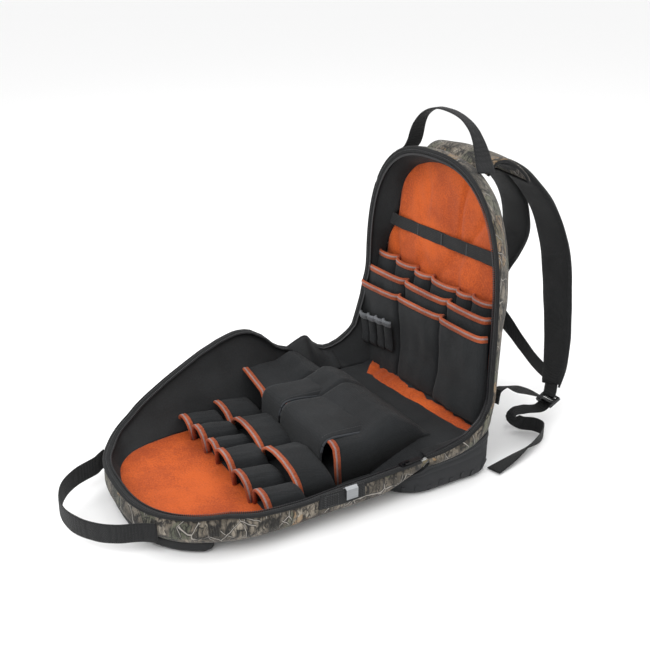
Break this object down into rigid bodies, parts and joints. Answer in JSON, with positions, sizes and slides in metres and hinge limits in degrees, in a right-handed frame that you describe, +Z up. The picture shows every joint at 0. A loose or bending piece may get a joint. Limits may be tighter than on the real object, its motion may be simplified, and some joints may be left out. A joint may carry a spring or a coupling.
{
  "type": "hunting backpack",
  "caption": "Arched camouflage backpack on a moulded rubber base, unzipped flat: sewn tool pockets in both halves, an orange lining, two carry loops and padded shoulder straps.",
  "frame": {"origin": "centre of the moulded base's underside, on the floor", "axes": "+Z up; the front half opens towards -Y; the shoulder harness is on the +Y side; +X is the wearer's right"},
  "size_m": [0.3786, 0.803, 0.507],
  "materials": {
    "base_rubber": "matte moulded rubber",
    "foam": "closed-cell foam",
    "camo_fabric": "woven polyester printed with a bark-and-leaf pattern",
    "mesh_pad": "padded air mesh",
    "plastic_sheet": "matte sheet",
    "orange_lining": "coated nylon",
    "pocket_fabric": "heavy woven polyester",
    "webbing": "ribbed webbing",
    "zip_tape": "woven tape with coil",
    "moulded_shell": "matte moulded foam",
    "buckle_plastic": "satin",
    "clip_steel": "brushed",
    "zip_metal": "dark plated",
    "zip_pull": "moulded"
  },
  "bodies": {
    "pack": {"molded_base": "base_rubber", "base_core": "foam", "base_treads": "base_rubber", "back_shell": "camo_fabric", "back_pad": "mesh_pad", "back_stiffener": "plastic_sheet", "back_lining": "orange_lining", "floor_liner": "orange_lining", "elastic_band": "webbing", "back_tubes": "pocket_fabric", "back_mid_pockets": "pocket_fabric", "back_low_pockets": "pocket_fabric", "pen_sleeves": "pocket_fabric", "zipper_back": "zip_tape", "top_handle_patches": "webbing", "strap_anchors": "webbing", "strap_yoke": "camo_fabric", "lower_web_right": "webbing", "lower_web_left": "webbing", "web_tail_right": "webbing", "web_tail_left": "webbing"},
    "lid": {"lid_shell": "camo_fabric", "lid_wing": "pocket_fabric", "lid_lining": "orange_lining", "lid_stiffener": "plastic_sheet", "hinge_web": "pocket_fabric", "lid_tubes": "pocket_fabric", "lid_mid_pockets": "pocket_fabric", "big_pocket_far": "pocket_fabric", "big_pocket_mid": "pocket_fabric", "big_pocket_near": "pocket_fabric", "flap_riser_mid": "pocket_fabric", "flap_riser_near": "pocket_fabric", "zipper_lid": "zip_tape", "glasses_pocket": "moulded_shell", "clip_tab": "webbing", "lid_handle_patches": "webbing", "clip_rivet": "clip_steel"},
    "flap_mid": {"flap_mid": "pocket_fabric"},
    "flap_near": {"flap_near": "pocket_fabric"},
    "top_handle": {"top_handle": "webbing"},
    "lid_handle": {"lid_handle": "webbing"},
    "harness": {"strap_pad_right": "mesh_pad", "strap_pad_left": "mesh_pad", "chest_strap": "webbing", "ladder_lock_right": "buckle_plastic", "ladder_lock_left": "buckle_plastic"},
    "tape_clip": {"tape_clip": "clip_steel"},
    "slider_right": {"slider_right": "zip_metal"},
    "slider_left": {"slider_left": "zip_metal"},
    "pull_right": {"pull_right": "zip_pull"},
    "pull_left": {"pull_left": "zip_pull"}
  },
  "joints": [
    {"name": "lid_fold", "type": "hinge", "parent": "pack", "child": "lid", "pos_m": [0, -0.03, 0.058], "axis": [-1, 0, 0], "range_deg": [0, 105]},
    {"name": "flap_mid_lift", "type": "hinge", "parent": "lid", "child": "flap_mid", "pos_m": [-0.0685, -0.15, 0.0846], "axis": [-1, 0, 0], "range_deg": [-110, 0]},
    {"name": "flap_near_lift", "type": "hinge", "parent": "lid", "child": "flap_near", "pos_m": [0.028, -0.15, 0.0826], "axis": [-1, 0, 0], "range_deg": [-110, 0]},
    {"name": "top_handle_swing", "type": "hinge", "parent": "pack", "child": "top_handle", "pos_m": [0, 0.105, 0.453], "axis": [-1, 0, 0], "range_deg": [0, 60]},
    {"name": "lid_handle_swing", "type": "hinge", "parent": "lid", "child": "lid_handle", "pos_m": [0, -0.43, 0.036], "axis": [1, 0, 0], "range_deg": [-60, 15]},
    {"name": "harness_swing", "type": "hinge", "parent": "pack", "child": "harness", "pos_m": [0, 0.1555, 0.44], "axis": [-1, 0, 0], "range_deg": [0, 8], "deforming": ["lower_web_right", "lower_web_left", "web_tail_right", "web_tail_left"]},
    {"name": "clip_swing", "type": "hinge", "parent": "lid", "child": "tape_clip", "pos_m": [0.165, -0.156, 0.05], "axis": [1, 0, 0], "range_deg": [-25, 25]},
    {"name": "slider_right_run", "type": "slide", "parent": "lid", "child": "slider_right", "axis": [0, -1, 0], "range_m": [0, 0.16]},
    {"name": "slider_left_run", "type": "slide", "parent": "lid", "child": "slider_left", "axis": [0, -1, 0], "range_m": [0, 0.11]},
    {"name": "pull_right_flip", "type": "hinge", "parent": "slider_right", "child": "pull_right", "pos_m": [0.1585, -0.064, 0.062], "axis": [1, 0, 0], "range_deg": [0, 170]},
    {"name": "pull_left_flip", "type": "hinge", "parent": "slider_left", "child": "pull_left", "pos_m": [-0.1937, -0.064, 0.062], "axis": [1, 0, 0], "range_deg": [0, 170]}
  ]
}
